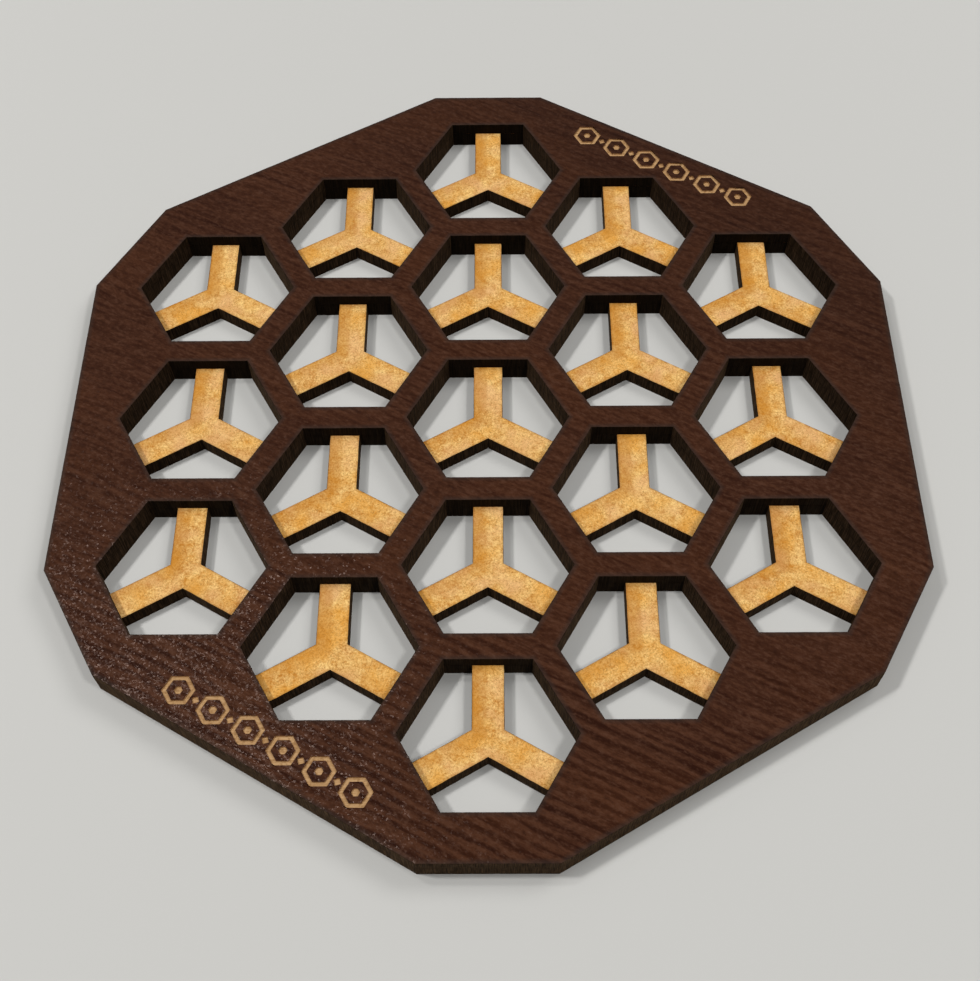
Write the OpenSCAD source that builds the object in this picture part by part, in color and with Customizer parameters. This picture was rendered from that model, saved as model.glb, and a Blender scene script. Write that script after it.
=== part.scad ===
// Hexagonal game board for drop-in tiles, laminated from two flat sheets.
// The top board frames the tiles. The base board has the same windows, and leaves a
// three-armed rest across each of them, on which a tile lies one sheet below the face.
// Sizes are millimetres. The origin is the middle of the underside, and +Z points out
// of the playing face.

/* [Cells] */
// Width of a tile window across its flats
window_af = 31.6; // [20:0.1:80]
// Width of the web between two windows
web_w = 5.9; // [3:0.1:15]
// Rings of cells round the middle cell
rings = 2; // [1:1:3]

/* [Tile rests] */
// Width of each arm of a tile rest
arm_w = 6.7; // [3:0.1:12]

/* [Border] */
// Board between a long side and the nearest window corners
side_margin = 11; // [6:0.5:30]
// Board between a short side and the window beside it
corner_margin = 10; // [6:0.5:30]

/* [Sheets] */
// Thickness of the base board
base_t = 4; // [2:0.1:8]
// Thickness of the top board without its wood-grain sheet
top_t = 2.8; // [2:0.1:8]
// Thickness of the wood-grain sheet
face_t = 0.2; // [0.1:0.05:0.6]
// Thickness of the glue between the boards
glue_t = 0.1; // [0.05:0.01:0.3]
// Distance that the glue stops short of every cut edge
glue_setback = 0.5; // [0.2:0.1:1.2]

/* [Hidden] */

// Cells stand on a triangular grid, in columns that are half a pitch out of step
pitch = window_af + web_w;
column_step = pitch * cos(30);
cells = [
    for (column = [-rings : rings], row = [0 : 2 * rings - abs(column)])
        [column * column_step, (row - rings + abs(column) / 2) * pitch]
];

// Distances from the middle of the board to its six long and six short sides
window_r = window_af / 2 / cos(30);
long_side_d = rings * column_step + window_r + side_margin;
short_side_d = rings * pitch + window_af / 2 + corner_margin;

// Directions of a rest's arms, each square to a flat of its window
ARM_TURNS = [90, 210, 330];

// Levels of the undersides of the sheets above the base board
glue_z = base_t;
top_z = glue_z + glue_t;
face_z = top_z + top_t;

// Regular hexagon with two level flats
module hexagon(across_flats) {
    circle(d = across_flats / cos(30), $fn = 6);
}

// Twelve-sided outline of both boards: a hexagon whose corners are cut by another
module board_outline(inset = 0) {
    intersection() {
        rotate(30) hexagon(2 * (long_side_d - inset));
        hexagon(2 * (short_side_d - inset));
    }
}

// The tile windows, each one larger all round by the outset
module windows(outset = 0) {
    for (cell = cells)
        translate(cell) hexagon(window_af + 2 * outset);
}

// Three arms that meet in the middle of a window and reach past its flats
module rest_arms() {
    for (turn = ARM_TURNS)
        rotate(turn)
            translate([0, -arm_w / 2]) square([window_r, arm_w]);
}

// The three gaps that a tile rest leaves open in its window
module rest_gaps() {
    difference() {
        hexagon(window_af);
        rest_arms();
    }
}

// Board with its windows open, the shape of every sheet above the base
module window_frame() {
    difference() {
        board_outline();
        windows();
    }
}

// Thin printed sheet that gives the playing face its dark wood grain
module woodgrain_face() {
    color("#41281b")
        translate([0, 0, face_z])
            linear_extrude(face_t) window_frame();
}

// Board that frames the tiles, dark where it was burnt through
module top_board() {
    color("#24180f")
        translate([0, 0, top_z])
            linear_extrude(top_t) window_frame();
}

// Glue between the boards, clear of their edges so that none squeezes out
module glue_film() {
    color("#e3d7b4")
        translate([0, 0, glue_z])
            linear_extrude(glue_t)
                difference() {
                    board_outline(inset = glue_setback);
                    windows(outset = glue_setback);
                }
}

// Board that the object stands on, cut through between the arms of every tile rest
module base_board() {
    color("#d39b58")
        linear_extrude(base_t)
            difference() {
                board_outline();
                for (cell = cells)
                    translate(cell) rest_gaps();
            }
}

woodgrain_face();
top_board();
glue_film();
base_board();
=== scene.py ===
"""Dresses the game board: two laser-cut hardboard sheets, the upper one faced with a dark wood print."""
import math
from itertools import zip_longest

import bpy
from mathutils import Euler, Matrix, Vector, noise
from mathutils.geometry import tessellate_polygon


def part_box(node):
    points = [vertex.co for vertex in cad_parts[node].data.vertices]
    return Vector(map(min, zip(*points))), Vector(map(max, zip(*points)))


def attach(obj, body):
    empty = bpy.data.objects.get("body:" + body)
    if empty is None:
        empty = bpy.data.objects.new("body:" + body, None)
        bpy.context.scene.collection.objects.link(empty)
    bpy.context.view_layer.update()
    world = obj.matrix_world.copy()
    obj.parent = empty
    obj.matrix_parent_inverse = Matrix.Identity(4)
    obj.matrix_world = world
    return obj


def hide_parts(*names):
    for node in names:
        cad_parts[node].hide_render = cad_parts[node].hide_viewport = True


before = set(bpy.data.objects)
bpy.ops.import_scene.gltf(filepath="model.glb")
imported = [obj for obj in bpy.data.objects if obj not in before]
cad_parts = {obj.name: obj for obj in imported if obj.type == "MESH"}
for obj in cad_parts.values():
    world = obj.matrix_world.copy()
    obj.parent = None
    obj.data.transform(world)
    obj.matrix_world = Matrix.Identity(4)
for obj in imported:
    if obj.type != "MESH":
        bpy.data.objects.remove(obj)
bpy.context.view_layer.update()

MM = 0.001

# Levels of the sheets and the distance to a long side, from the frame
base_low, base_high = (corner.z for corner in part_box("base_board"))
core_low, core_high = (corner.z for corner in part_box("top_board"))
face_low, face_high = (corner.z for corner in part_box("woodgrain_face"))
long_side_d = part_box("top_board")[1].x

# Cut edges
EDGE_STEP = 0.9 * MM        # spacing of points along a cut
KERF = 0.03 * MM            # a cut leans in by this much from the bottom of a board to its top
ARRIS = 0.07 * MM           # width of the worn arris along a cut
ARRIS_WEAR = 0.6            # share by which that width wanders
WEAR_LENGTH = 2.2 * MM      # distance over which it wanders
SAME_PLACE = 0.001 * MM     # points of the CAD plates that are nearer than this are one
STRAIGHT_ON = 0.01          # sine of a turn that is too small to be a corner

# Smoke of the laser, by how far in from the cut a surface lies
BURN = 0.6 * MM             # bare board is burnt brown up to here
SCORCH = 1.2 * MM           # the print is greyed up to here, where bare board is stained most
RIM = 2.8 * MM              # the stain has thinned to what it is farther in
SMOKE_DRIFT = Vector((1, -0.2))  # way in which it drifted, staining the board on that side of a cut

# Engraved ornament along two of the long sides
ENGRAVED_SIDES = (60, 240)  # directions of the two sides, in degrees
ENGRAVED_DEPTH = 0.36 * MM
BAND_INSET = 6.15 * MM      # from the long side to the middle of the ornament
MOTIF_COUNT = 6
MOTIF_SPACING = 8.5 * MM
MOTIF_R = 3.5 * MM
MOTIF_STROKE = 0.9 * MM
DOT_R = 0.9 * MM
DIAMOND_R = 0.9 * MM

# Wood print: length along the grain and width across it of each thing in it
WARMTH = (40 * MM, 12 * MM)
FIGURE = (26 * MM, 9 * MM)
BAND = (16 * MM, 2.5 * MM)
STREAK = (10 * MM, 1.0 * MM)
DASH = (8 * MM, 0.8 * MM)
GRAIN = (1.5 * MM, 0.7 * MM)
FLAKE = (0.36 * MM, 0.30 * MM)
FLAKE_SLOPE = 0.12          # slope by up to which a flake leans
GRAIN_TURN = math.radians(-27)  # direction of the grain on the face
GRAIN_BEND = (40 * MM, 1.0 * MM)  # length of a bend in the grain, and how far aside it goes
BOLD_CORNER = (-0.2, -0.98, 0)  # direction of the corner to which the grain grows bold
BOLD_REACH = (45 * MM, 75 * MM)  # and the places between which it does, along that direction
DARK_CORNER = (0.6, 0.8, 0)  # direction of the corner toward which the face is coloured darker
DARK_REACH = (30 * MM, 90 * MM)

# Bare board: size of each thing in it
CLOUD = 14 * MM
BLOTCH = 2 * MM
SPECKLE = 0.45 * MM
TINT = 6 * MM
FIBRE = (0.8 * MM, 0.22 * MM, 0.22 * MM)
FIBRE_TURNS = (12, 71, 133)  # ways in which the fibres lie, in degrees

# Burnt walls, engraving and glue
STROKE = (0.16 * MM, 0.16 * MM, 5 * MM)  # striation up a cut
SOOT = 1.6 * MM
ENGRAVER_PASS = (6 * MM, 0.12 * MM, 1 * MM)
TOAST = 0.7 * MM
SMEAR = (5 * MM, 1.4 * MM, 1.4 * MM)
SMEAR_TURN = math.radians(20)

# Values of the texture nodes
NOISE = (0.3, 0.7)          # range in which a noise mostly stays
COLOUR_NOISE = (0.25, 0.75)  # the same for each part of its colour, taken a little wider
WAVE_SCALE = math.pi / 10   # scale at which a wave texture has one band to a length of one

# Camera of the photograph, whose frame is 980 by 981 pixels
CAMERA_PLACE = (0.0021, -0.1688, 0.2549)  # in metres, from the middle of the playing face
CAMERA_TURN = (30.39, 0.40, -0.05)  # in degrees
CAMERA_LENS = 49.6          # in the millimetres that lenses are counted in
CAMERA_SENSOR = 36          # its width, in the same
CAMERA_CLIP = 0.01          # nothing nearer to the camera than this is seen

# Lamps: direction from the board, size at one metre, and share of the plain light level
LAMPS = {
    "left_lamp": ((-0.57, -0.02, 1.0), 0.10, 0.33),
    "right_lamp": ((0.66, 0.37, 1.0), 0.45, 0.20),
    "front_lamp": ((0.44, -0.35, 1.0), 0.12, 0.19),
    "sheen_lamp": ((-0.39, 0.20, 1.0), 0.09, 0.10),
}
GLOSS_LAMP = "sheen_lamp"   # the face mirrors this one alone
LAMP_DISTANCE = 0.95        # from the middle of the floor under the board

# World: its light, which fades from overhead to the horizon, and the backdrop seen in its place
WORLD_SHARE = 0.19          # share of the plain light level that it gives
WORLD_ABOVE = 1.5 * WORLD_SHARE  # strength straight above that gives that share
BACKDROP = 0.6              # strength of the backdrop at the horizon
BACKDROP_TOP = 0.22         # height on a dome of radius one from which it is as strong as WORLD_ABOVE

# Floor
FLOOR_COLOUR = (204, 203, 199)
FLOOR_HALF = 4.0            # half its width
FLOOR_DROP = 0.02 * MM      # from the underside of the board down to it
FLOOR_DARK = 1.2            # distance from the board at which the lamps hardly light it
FLOOR_GLOW = 0.78           # strength that it is shown with there


# Materials

def colour(red, green, blue):
    """Linear colour of an 8-bit screen colour."""
    parts = [part / 255 for part in (red, green, blue)]
    return [part / 12.92 if part <= 0.04045 else ((part + 0.055) / 1.055) ** 2.4 for part in parts] + [1]


def add_node(tree, kind, settings, inputs):
    """Adds a node. An input is either a plain value or another node's output."""
    added = tree.nodes.new(kind)
    for key, value in settings.items():
        setattr(added, key, value)
    for key, value in inputs.items():
        if isinstance(value, bpy.types.NodeSocket):
            tree.links.new(value, added.inputs[key])
        else:
            added.inputs[key].default_value = value
    return added


class Look:
    """One procedural material, put together by short calls that add its nodes."""

    def __init__(self, name, specular):
        self.material = bpy.data.materials.new(name)
        self.material.use_nodes = True
        self.tree = self.material.node_tree
        self.shader = self.tree.nodes["Principled BSDF"]
        self.shader.inputs["Specular IOR Level"].default_value = specular

    def node(self, kind, settings, inputs):
        return add_node(self.tree, kind, settings, inputs)

    def place(self):
        """Place on the object, in metres."""
        return self.node("ShaderNodeTexCoord", {}, {}).outputs["Object"]

    def facing(self):
        """Direction in which the surface faces, along the object's axes."""
        return self.node("ShaderNodeTexCoord", {}, {}).outputs["Normal"]

    def along(self, vector, direction):
        """How far the vector reaches in a direction."""
        inputs = {0: vector, 1: direction}
        return self.node("ShaderNodeVectorMath", {"operation": "DOT_PRODUCT"}, inputs).outputs["Value"]

    def scaled(self, place, size, turn=0.0):
        """Place counted in lengths of size, along axes turned about the vertical."""
        inputs = {"Vector": place, "Rotation": (0, 0, turn), "Scale": size}
        return self.node("ShaderNodeMapping", {"vector_type": "TEXTURE"}, inputs).outputs["Vector"]

    def noise(self, place, detail=2.0, roughness=0.5):
        """Cloudy pattern with one cloud or so to a length of one."""
        inputs = {"Vector": place, "Scale": 1.0, "Detail": detail, "Roughness": roughness}
        return self.node("ShaderNodeTexNoise", {}, inputs).outputs["Fac"]

    def mottle(self, place, size, detail=2.0, roughness=0.5):
        """Cloudy pattern as long as it is wide."""
        return self.noise(self.scaled(place, (size, size, size)), detail, roughness)

    def bent(self, place, size, reach):
        """Place shifted by up to about reach, smoothly over a distance of size."""
        low, high = COLOUR_NOISE
        inputs = {"Vector": self.scaled(place, (size, size, size)), "Scale": 1.0, "Detail": 1.0}
        wander = self.node("ShaderNodeTexNoise", {}, inputs).outputs["Color"]
        stretched = {"Vector": wander, "From Min": (low,) * 3, "From Max": (high,) * 3,
                     "To Min": (-reach,) * 3, "To Max": (reach,) * 3}
        shift = self.node("ShaderNodeMapRange", {"data_type": "FLOAT_VECTOR"}, stretched).outputs["Vector"]
        return self.node("ShaderNodeVectorMath", {}, {0: place, 1: shift}).outputs[0]

    def between(self, value, low, high, at_low=0.0, at_high=1.0):
        """Value stretched from the range low to high, and held at its ends."""
        inputs = {"Value": value, "From Min": low, "From Max": high, "To Min": at_low, "To Max": at_high}
        return self.node("ShaderNodeMapRange", {}, inputs).outputs["Result"]

    def waves(self, place, bend):
        """Bands one length apart across the place's y axis, bent out of line by up to bend periods or so."""
        inputs = {"Vector": place, "Scale": WAVE_SCALE, "Distortion": 2 * math.pi * bend, "Detail": 1.0,
                  "Detail Scale": 2.0, "Detail Roughness": 0.5}
        return self.node("ShaderNodeTexWave", {"bands_direction": "Y"}, inputs).outputs["Fac"]

    def product(self, first, second):
        return self.node("ShaderNodeMath", {"operation": "MULTIPLY"}, {0: first, 1: second}).outputs[0]

    def total(self, first, second):
        return self.node("ShaderNodeMath", {"operation": "ADD"}, {0: first, 1: second}).outputs[0]

    def mix(self, first, second, share):
        """The first colour with a share of the second in it."""
        # Inputs 6 and 7 and output 2 are the colour sockets
        inputs = {0: share, 6: first, 7: second}
        return self.node("ShaderNodeMix", {"data_type": "RGBA"}, inputs).outputs[2]

    def attribute(self, name):
        return self.node("ShaderNodeAttribute", {"attribute_name": name}, {}).outputs["Fac"]

    def flakes(self, place, slope):
        """Direction of a level face whose small cells each lean their own way, by up to a slope."""
        inputs = {"Vector": place, "Scale": 1.0}
        cells = self.node("ShaderNodeTexVoronoi", {}, inputs).outputs["Color"]
        low, high = (0.5 - slope / 2, 0.5 - slope / 2, 1), (0.5 + slope / 2, 0.5 + slope / 2, 1)
        leaning = {"Vector": cells, "To Min": low, "To Max": high}
        lean = self.node("ShaderNodeMapRange", {"data_type": "FLOAT_VECTOR"}, leaning).outputs["Vector"]
        return self.node("ShaderNodeNormalMap", {"space": "OBJECT"}, {"Color": lean}).outputs["Normal"]

    def finish(self, base, roughness, height, depth, flakes=None):
        """Connects colour, roughness and a bump of the given depth over any flakes, for the material."""
        self.tree.links.new(base, self.shader.inputs["Base Color"])
        self.tree.links.new(roughness, self.shader.inputs["Roughness"])
        bump = self.node("ShaderNodeBump", {}, {"Height": height, "Distance": depth, "Strength": 1.0})
        if flakes:
            self.tree.links.new(flakes, bump.inputs["Normal"])
        self.tree.links.new(bump.outputs["Normal"], self.shader.inputs["Normal"])
        return self.material


def along_grain(look, place, size):
    """Place counted in lengths along the grain and widths across it."""
    length, width = size
    return look.scaled(place, (length, width, width), GRAIN_TURN)


def grain_share(look, place):
    """Share of light wood in the print: streaks and long bands, bolder and with dashes at one corner."""
    figure = look.noise(along_grain(look, place, FIGURE), detail=1)
    bands = look.waves(along_grain(look, place, BAND), bend=0.7)
    streaks = look.noise(along_grain(look, place, STREAK), detail=1)
    dashes = look.noise(along_grain(look, place, DASH), detail=3, roughness=0.65)
    bold = look.between(look.along(place, BOLD_CORNER), *BOLD_REACH)
    strength = look.total(look.between(figure, 0.38, 0.66, 0.08, 0.5), look.product(bold, 0.85))
    share = look.product(look.between(bands, 0, 1, -0.5, 0.5), strength)
    share = look.total(share, look.product(look.between(dashes, *NOISE, -0.5, 0.5), bold))
    return look.total(share, look.between(streaks, 0.15, 0.85))


def wood_print():
    """Dark reddish wood: bands and a broken grain under a film of tiny flakes, smoked at the cuts."""
    look = Look("dark_woodgrain", specular=0.17)
    look.shader.inputs["Specular Tint"].default_value = (1, 0.75, 0.65, 1)
    place = look.bent(look.place(), *GRAIN_BEND)
    warmth = look.noise(along_grain(look, place, WARMTH))
    grain = look.noise(along_grain(look, place, GRAIN), detail=3, roughness=0.7)
    base = look.mix(colour(44, 19, 9), colour(74, 44, 29), grain_share(look, place))
    base = look.mix(base, colour(76, 42, 22), look.between(warmth, 0.45, 0.75, 0, 0.4))
    base = look.mix(base, colour(90, 61, 46), look.between(grain, 0.50, 0.72, 0, 0.55))
    base = look.mix(base, colour(32, 13, 6), look.between(grain, 0.50, 0.28, 0, 0.55))
    darkness = look.between(look.along(place, DARK_CORNER), *DARK_REACH, 0, 0.25)
    base = look.mix(base, colour(28, 12, 6), darkness)
    base = look.mix(base, colour(50, 44, 40), look.between(look.attribute("depth"), 0, SCORCH, 0.6, 0))
    flakes = look.flakes(along_grain(look, place, FLAKE), FLAKE_SLOPE)
    return look.finish(base, look.between(warmth, *NOISE, 0.20, 0.24), grain, 0.01 * MM, flakes)


def raw_board():
    """Bare golden hardboard: clouds, blotches, fine speckle and short fibres, smoked beside the cuts."""
    look = Look("raw_board", specular=0.15)
    place = look.place()
    clouds = look.mottle(place, CLOUD, detail=1)
    blotches = look.mottle(place, BLOTCH, detail=4, roughness=0.8)
    speckle = look.mottle(place, SPECKLE, roughness=0.6)
    tone = look.total(look.between(clouds, *NOISE, 0, 0.24), look.between(blotches, *NOISE, -0.20, 0.72))
    tone = look.total(tone, look.between(speckle, *NOISE, -0.16, 0.48))
    base = look.mix(colour(196, 127, 46), colour(255, 213, 136), tone)
    tint = look.mottle(place, TINT, detail=1)
    base = look.mix(base, colour(236, 184, 128), look.between(tint, 0.5, 0.7, 0, 0.6))
    base = look.mix(base, colour(234, 164, 62), look.between(tint, 0.5, 0.3, 0, 0.6))
    for turn in FIBRE_TURNS:
        fibres = look.noise(look.scaled(place, FIBRE, math.radians(turn)), detail=1)
        base = look.mix(base, colour(158, 102, 36), look.between(fibres, 0.56, 0.74, 0, 0.5))
    depth = look.attribute("depth")
    above = look.between(look.along(look.facing(), (0, 0, 1)), 0, 1)
    downwind = look.product(look.between(look.attribute("drift"), 0, 1), above)
    stain = look.product(look.between(depth, SCORCH, RIM, 0.5, 0.32), downwind)
    base = look.mix(base, colour(182, 112, 22), stain)
    base = look.mix(base, colour(112, 66, 28), look.between(depth, 0, BURN, 0.42, 0))
    return look.finish(base, look.between(speckle, *NOISE, 0.55, 0.75), speckle, 0.03 * MM)


def burnt_edge(name, dark, light, smoked):
    """Laser-cut wall with fine striations up the cut, and painted shade: near black, by the given share, on
    what faces -Y.
    """
    look = Look(name, specular=0.02)
    look.shader.inputs["Sheen Roughness"].default_value = 0.5
    look.shader.inputs["Sheen Tint"].default_value = colour(150, 118, 86)
    place = look.place()
    strokes = look.noise(look.scaled(place, STROKE))
    soot = look.mottle(place, SOOT)
    base = look.mix(dark, light, look.between(strokes, 0.40, 0.70))
    base = look.mix(base, colour(15, 10, 6), look.between(soot, 0.45, 0.65, 0, 0.4))
    look.tree.links.new(look.between(strokes, 0.40, 0.70, 0.10, 0.38), look.shader.inputs["Sheen Weight"])
    shade_facing_front = look.along(look.facing(), (0, -1, 0))
    # Painted shade: walls facing -Y, the far walls of the recesses, are darkened almost to black by the
    # share smoked
    base = look.mix(base, colour(7, 5, 3), look.between(shade_facing_front, 0.88, 1.0, 0, smoked))
    return look.finish(base, look.between(soot, *NOISE, 0.7, 0.9), strokes, 0.04 * MM)


def engraved_board():
    """Board laid bare by the engraver, toasted, with the fine lines of its passes."""
    look = Look("engraved_board", specular=0.2)
    place = look.place()
    passes = look.noise(look.scaled(place, ENGRAVER_PASS), detail=1)
    toast = look.mottle(place, TOAST)
    base = look.mix(colour(193, 157, 113), colour(170, 132, 89), look.between(passes, 0.4, 0.6))
    base = look.mix(base, colour(138, 100, 60), look.between(toast, 0.5, 0.7, 0, 0.7))
    return look.finish(base, look.between(toast, *NOISE, 0.6, 0.8), passes, 0.03 * MM)


def dried_glue():
    """Pale dried wood glue, drawn thin between the boards."""
    look = Look("dried_glue", specular=0.45)
    smear = look.noise(look.scaled(look.place(), SMEAR, SMEAR_TURN), detail=3)
    base = look.mix(colour(214, 196, 148), colour(238, 227, 192), look.between(smear, 0.35, 0.65))
    return look.finish(base, look.between(smear, *NOISE, 0.3, 0.5), smear, 0.02 * MM)


raw = raw_board()
# Two copies of the burnt wall: the windows' one painted darker, as shade in the recesses, the outer one
# painted lighter, as lit from the floor around it
shaded_window_char = burnt_edge("burnt_window_edge_shaded", colour(14, 8, 4), colour(52, 37, 25), smoked=0.9)
lit_rim_char = burnt_edge("burnt_outer_edge_lit", colour(32, 23, 14), colour(70, 53, 37), smoked=0.0)
wood = wood_print()
engraved = engraved_board()
glue = dried_glue()


# Outlines

def loops_of(node):
    """Corners of each loop round the top face of a CAD plate, with the material on the loop's left."""
    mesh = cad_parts[node].data
    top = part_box(node)[1].z
    corner = {}
    edges = set()
    for polygon in mesh.polygons:
        points = [mesh.vertices[number].co for number in polygon.vertices]
        if polygon.normal.z < 0.5 or any(abs(point.z - top) > SAME_PLACE for point in points):
            continue
        keys = [(round(point.x / SAME_PLACE), round(point.y / SAME_PLACE)) for point in points]
        corner.update(zip(keys, points))
        edges.update(zip(keys, keys[1:] + keys[:1]))
    following = {here: after for here, after in edges if (after, here) not in edges}
    loops = []
    while following:
        loop = [min(following)]
        while loop[-1] in following:
            loop.append(following.pop(loop[-1]))
        loops.append(corners_of([corner[key].to_2d() for key in loop[1:]]))
    return sorted(loops, key=lambda loop: -max(point.length for point in loop))


def corners_of(loop):
    """The loop without the points that lie along its straight edges."""
    found = []
    for before, here, after in zip(loop[-1:] + loop[:-1], loop, loop[1:] + loop[:1]):
        if abs((here - before).normalized().cross((after - here).normalized())) > STRAIGHT_ON:
            found.append(here)
    return found


def stepped(loop):
    """The loop with points added along its edges."""
    points = []
    for here, after in zip(loop, loop[1:] + loop[:1]):
        count = math.ceil((after - here).length / EDGE_STEP)
        points += [here.lerp(after, k / count) for k in range(count)]
    return points


def ways_in(loop):
    """At each point of the loop, the way into the material for a depth of one, with mitred corners."""
    ways = []
    for before, here, after in zip(loop[-1:] + loop[:-1], loop, loop[1:] + loop[:1]):
        first, second = (Vector((-edge.y, edge.x)).normalized() for edge in (here - before, after - here))
        middle = (first + second).normalized()
        ways.append(middle / middle.dot(first))
    return ways


def regular(middle, radius, count):
    """Corners of a regular polygon that stands on a corner, anticlockwise."""
    angles = [2 * math.pi * k / count - math.pi / 2 for k in range(count)]
    return [middle + Vector((radius * math.cos(angle), radius * math.sin(angle))) for angle in angles]


def ornament():
    """Nested loops of each motif, from the outside in: cut, left standing, cut."""
    motifs = []
    first = -(MOTIF_COUNT - 1) / 2 * MOTIF_SPACING
    island_r = MOTIF_R - MOTIF_STROKE / math.cos(math.pi / 6)
    for k in range(MOTIF_COUNT):
        middle = Vector((first + k * MOTIF_SPACING, 0))
        motifs.append([regular(middle, radius, 6) for radius in (MOTIF_R, island_r, DOT_R)])
        if k:
            motifs.append([regular(middle - Vector((MOTIF_SPACING / 2, 0)), DIAMOND_R, 4)])
    return motifs


def engraved_motifs():
    """The ornament's nested loops on the board, along each engraved side."""
    placed = []
    for side in ENGRAVED_SIDES:
        outward = Vector((math.cos(math.radians(side)), math.sin(math.radians(side))))
        along = Vector((outward.y, -outward.x))
        middle = outward * (long_side_d - BAND_INSET)
        for motif in ornament():
            placed.append([[middle + along * x + outward * y for x, y in loop] for loop in motif])
    return placed


# Pieces

class Shape:
    """Points and faces of one closed piece, gathered ring by ring."""

    def __init__(self):
        self.points = []
        self.depths = []
        self.drifts = []
        self.faces = []
        self.surfaces = []

    def ring(self, loop, smoked, level, inset=0.0, wear=0.0):
        """Adds a loop's points at a level, moved into the material, and returns their numbers.

        Points beside a cut that isn't smoked count as lying a rim's width in from it.
        """
        first = len(self.points)
        for point, way in zip(loop, ways_in(loop)):
            worn = 1 + wear * noise.noise(Vector((point.x, point.y, level)) / WEAR_LENGTH)
            moved = point + way * inset * worn
            self.points.append((moved.x, moved.y, level))
            self.depths.append(inset if smoked else RIM)
            self.drifts.append(way.dot(SMOKE_DRIFT))
        return range(first, len(self.points))

    def wall(self, low, high, surface):
        """Joins two rings by faces that look away from the material."""
        for k in range(len(low)):
            after = (k + 1) % len(low)
            self.faces.append((low[k], low[after], high[after], high[k]))
            self.surfaces.append(surface)

    def sweep(self, loop, stations, smoked=True):
        """Joins rings at each (surface, level, inset, wear), and returns the first and the last."""
        rings = [self.ring(loop, smoked, *station[1:]) for station in stations]
        for low, high, station in zip(rings, rings[1:], stations[1:]):
            self.wall(low, high, station[0])
        return rings[0], rings[-1]

    def engrave(self, motif, low, high):
        """Sweeps the walls of a motif between two levels, and returns the two rings of each."""
        walls = []
        for k, loop in enumerate(motif):
            # The material is on a loop's left, so round a cut the loop runs the other way
            turned = loop if k % 2 else loop[::-1]
            walls.append(self.sweep(turned, [(None, low), (engraved, high)], smoked=False))
        return walls

    def cap(self, rings, surface, up):
        """Fills the first ring, less the others, with a level face."""
        numbers = [number for ring in rings for number in ring]
        flat = [[Vector(self.points[number]) for number in ring] for ring in rings]
        for triangle in tessellate_polygon(flat):
            corners = [numbers[k] for k in triangle]
            a, b, c = (Vector(self.points[number]).to_2d() for number in corners)
            if ((b - a).cross(c - b) > 0) != up:
                corners.reverse()
            self.faces.append(corners)
            self.surfaces.append(surface)

    def build(self, name):
        """Makes the Blender object, which keeps each point's depth and drift for its materials."""
        mesh = bpy.data.meshes.new(name)
        mesh.from_pydata(self.points, [], self.faces)
        slots = list(dict.fromkeys(self.surfaces))
        for material in slots:
            mesh.materials.append(material)
        mesh.polygons.foreach_set("material_index", [slots.index(surface) for surface in self.surfaces])
        mesh.attributes.new("depth", "FLOAT", "POINT").data.foreach_set("value", self.depths)
        mesh.attributes.new("drift", "FLOAT", "POINT").data.foreach_set("value", self.drifts)
        piece = bpy.data.objects.new(name, mesh)
        bpy.context.scene.collection.objects.link(piece)
        return piece


def cuts(walls):
    """The parts of a motif that are cut, each with the island inside it, or None."""
    return zip_longest(walls[0::2], walls[1::2])


def islands(walls):
    """The parts of a motif that are left standing, each with the cut inside it, or None."""
    return zip_longest(walls[1::2], walls[2::2])


def chars(loops):
    """Each loop with the surface of its cut: the outer one first, whose walls are painted lighter as lit
    from the floor, and the windows' walls painted darker as shade in the recesses.
    """
    return zip(loops, [lit_rim_char] + [shaded_window_char] * (len(loops) - 1))


def make_rests():
    """The base board, with its scorched rims above and below."""
    shape = Shape()
    ends = []
    for loop, char in chars(loops_of("base_board")):
        ends.append(shape.sweep(stepped(loop), [
            (None, base_low, RIM),
            (raw, base_low, 0.0),
            (char, base_high - ARRIS, KERF, ARRIS_WEAR),
            (char, base_high, KERF + ARRIS, ARRIS_WEAR),
            (raw, base_high, RIM),
        ]))
    shape.cap([low for low, _ in ends], raw, up=False)
    shape.cap([high for _, high in ends], raw, up=True)
    return shape.build("tile_rests")


def make_frame():
    """The core of the top board, with the lower part of the engraving."""
    shape = Shape()
    ends = []
    for loop, char in chars(loops_of("top_board")):
        ends.append(shape.sweep(stepped(loop), [(None, core_low, 0.0), (char, core_high, KERF)]))
    shape.cap([low for low, _ in ends], raw, up=False)
    above = [high for _, high in ends]
    for motif in engraved_motifs():
        walls = shape.engrave(motif, face_high - ENGRAVED_DEPTH, core_high)
        for cut, island in cuts(walls):
            shape.cap([low for low, _ in filter(None, (cut, island))], engraved, up=True)
        for island, cut in islands(walls):
            shape.cap([high for _, high in filter(None, (island, cut))], raw, up=True)
        above.append(walls[0][1])
    shape.cap(above, raw, up=True)
    return shape.build("tile_frame")


def make_face():
    """The printed sheet, cut through where it is engraved."""
    shape = Shape()
    ends = []
    for loop, char in chars(loops_of("woodgrain_face")):
        ends.append(shape.sweep(stepped(loop), [
            (None, face_low, KERF),
            (char, face_high - ARRIS, KERF, ARRIS_WEAR),
            (char, face_high, KERF + ARRIS, ARRIS_WEAR),
            (wood, face_high, RIM),
        ]))
    for motif in engraved_motifs():
        walls = shape.engrave(motif, face_low, face_high)
        for island, cut in islands(walls):
            shape.cap([low for low, _ in filter(None, (island, cut))], wood, up=False)
            shape.cap([high for _, high in filter(None, (island, cut))], wood, up=True)
        ends.append(walls[0])
    shape.cap([low for low, _ in ends], wood, up=False)
    shape.cap([high for _, high in ends], wood, up=True)
    return shape.build("playing_face")


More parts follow.
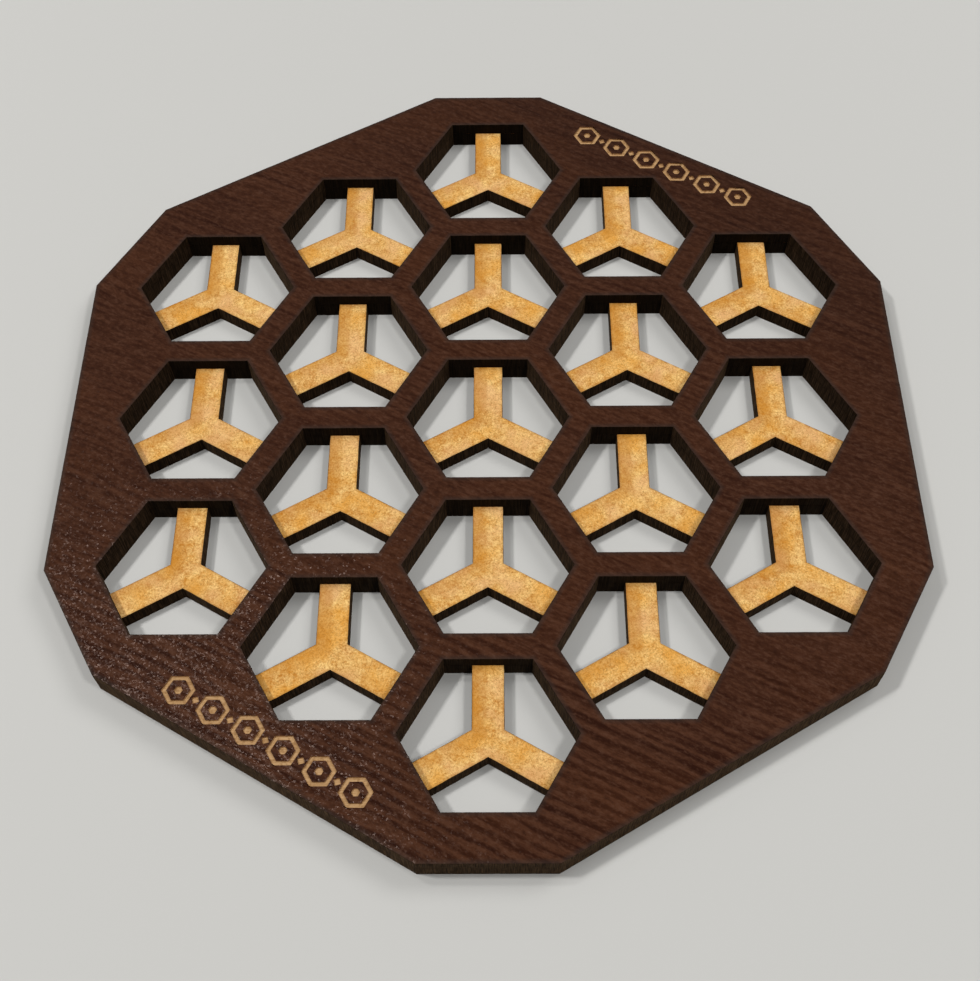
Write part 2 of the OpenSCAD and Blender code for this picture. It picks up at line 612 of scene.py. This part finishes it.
for piece, node, slot in (
    (make_rests(), "base_board", "raw_board"),
    (make_frame(), "top_board", "burnt_edge_board"),
    (make_face(), "woodgrain_face", "dark_woodgrain"),
):
    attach(piece, "root")
    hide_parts(node)

glue_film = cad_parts["glue_film"]
glue_film.data.materials.clear()
glue_film.data.materials.append(glue)


# Floor, lamps, world and camera

def on_view(tree):
    """One or more for rays that show a thing, and zero for rays by which it lights others."""
    path = add_node(tree, "ShaderNodeLightPath", {}, {}).outputs
    seen = add_node(tree, "ShaderNodeMath", {}, {0: path["Is Camera Ray"], 1: path["Is Glossy Ray"]})
    through = {0: seen.outputs[0], 1: path["Is Transmission Ray"]}
    return add_node(tree, "ShaderNodeMath", {}, through).outputs[0]


def floor_surface():
    """Plain pale surface that looks as pale where the lamps no longer reach."""
    material = bpy.data.materials.new("floor")
    material.use_nodes = True
    tree = material.node_tree
    shader = tree.nodes["Principled BSDF"]
    shader.inputs["Base Color"].default_value = colour(*FLOOR_COLOUR)
    shader.inputs["Emission Color"].default_value = colour(*FLOOR_COLOUR)
    shader.inputs["Roughness"].default_value = 0.8
    shader.inputs["Specular IOR Level"].default_value = 0.1
    place = add_node(tree, "ShaderNodeTexCoord", {}, {}).outputs["Object"]
    away = add_node(tree, "ShaderNodeVectorMath", {"operation": "LENGTH"}, {0: place}).outputs["Value"]
    fading = {"Value": away, "From Max": FLOOR_DARK, "To Max": FLOOR_GLOW}
    glow = add_node(tree, "ShaderNodeMapRange", {"interpolation_type": "SMOOTHSTEP"}, fading).outputs[0]
    strength = add_node(tree, "ShaderNodeMix", {}, {"Factor": on_view(tree), "A": 0.0, "B": glow})
    tree.links.new(strength.outputs[0], shader.inputs["Emission Strength"])
    return material


def make_floor():
    """Wide floor, a hair below the board."""
    mesh = bpy.data.meshes.new("floor")
    signs = ((-1, -1), (1, -1), (1, 1), (-1, 1))
    corners = [(x * FLOOR_HALF, y * FLOOR_HALF, -FLOOR_DROP) for x, y in signs]
    mesh.from_pydata(corners, [], [(0, 1, 2, 3)])
    mesh.materials.append(floor_surface())
    floor = bpy.data.objects.new("floor", mesh)
    bpy.context.scene.collection.objects.link(floor)


def make_lamp(name, direction, size, share):
    """Disc lamp that gives a level white surface the stated share of its plain brightness."""
    toward = Vector(direction).normalized()
    light = bpy.data.lights.new(name, "AREA")
    light.shape = "DISK"
    light.size = size * LAMP_DISTANCE
    light.energy = share * (math.pi * LAMP_DISTANCE) ** 2 / toward.z
    lamp = bpy.data.objects.new(name, light)
    lamp.location = toward * LAMP_DISTANCE
    lamp.rotation_euler = toward.to_track_quat("Z", "Y").to_euler()
    lamp.visible_glossy = name == GLOSS_LAMP
    bpy.context.scene.collection.objects.link(lamp)


def make_world():
    """Soft light that is strongest overhead, seen as a backdrop that is pale low down."""
    world = bpy.data.worlds.new("studio")
    world.use_nodes = True
    tree = world.node_tree
    direction = add_node(tree, "ShaderNodeTexCoord", {}, {}).outputs["Generated"]
    up = add_node(tree, "ShaderNodeSeparateXYZ", {}, {"Vector": direction}).outputs["Z"]
    light = add_node(tree, "ShaderNodeMapRange", {}, {"Value": up, "To Max": WORLD_ABOVE}).outputs[0]
    pale = {"Value": up, "From Max": BACKDROP_TOP, "To Min": BACKDROP, "To Max": WORLD_ABOVE}
    backdrop = add_node(tree, "ShaderNodeMapRange", {}, pale).outputs[0]
    strength = add_node(tree, "ShaderNodeMix", {}, {"Factor": on_view(tree), "A": light, "B": backdrop})
    tree.nodes["Background"].inputs["Color"].default_value = (1, 1, 1, 1)
    tree.links.new(strength.outputs[0], tree.nodes["Background"].inputs["Strength"])
    bpy.context.scene.world = world


def make_camera():
    """Camera at the photograph's place and angle."""
    data = bpy.data.cameras.new("camera")
    data.sensor_width = CAMERA_SENSOR
    data.lens = CAMERA_LENS
    data.clip_start = CAMERA_CLIP
    camera = bpy.data.objects.new("camera", data)
    camera.location = Vector(CAMERA_PLACE) + Vector((0, 0, face_high))
    camera.rotation_euler = Euler([math.radians(angle) for angle in CAMERA_TURN])
    bpy.context.scene.collection.objects.link(camera)
    bpy.context.scene.camera = camera


make_floor()
for name, (direction, size, share) in LAMPS.items():
    make_lamp(name, direction, size, share)
make_world()
make_camera()
bpy.context.scene.view_settings.view_transform = "Standard"

bpy.context.view_layer.update()
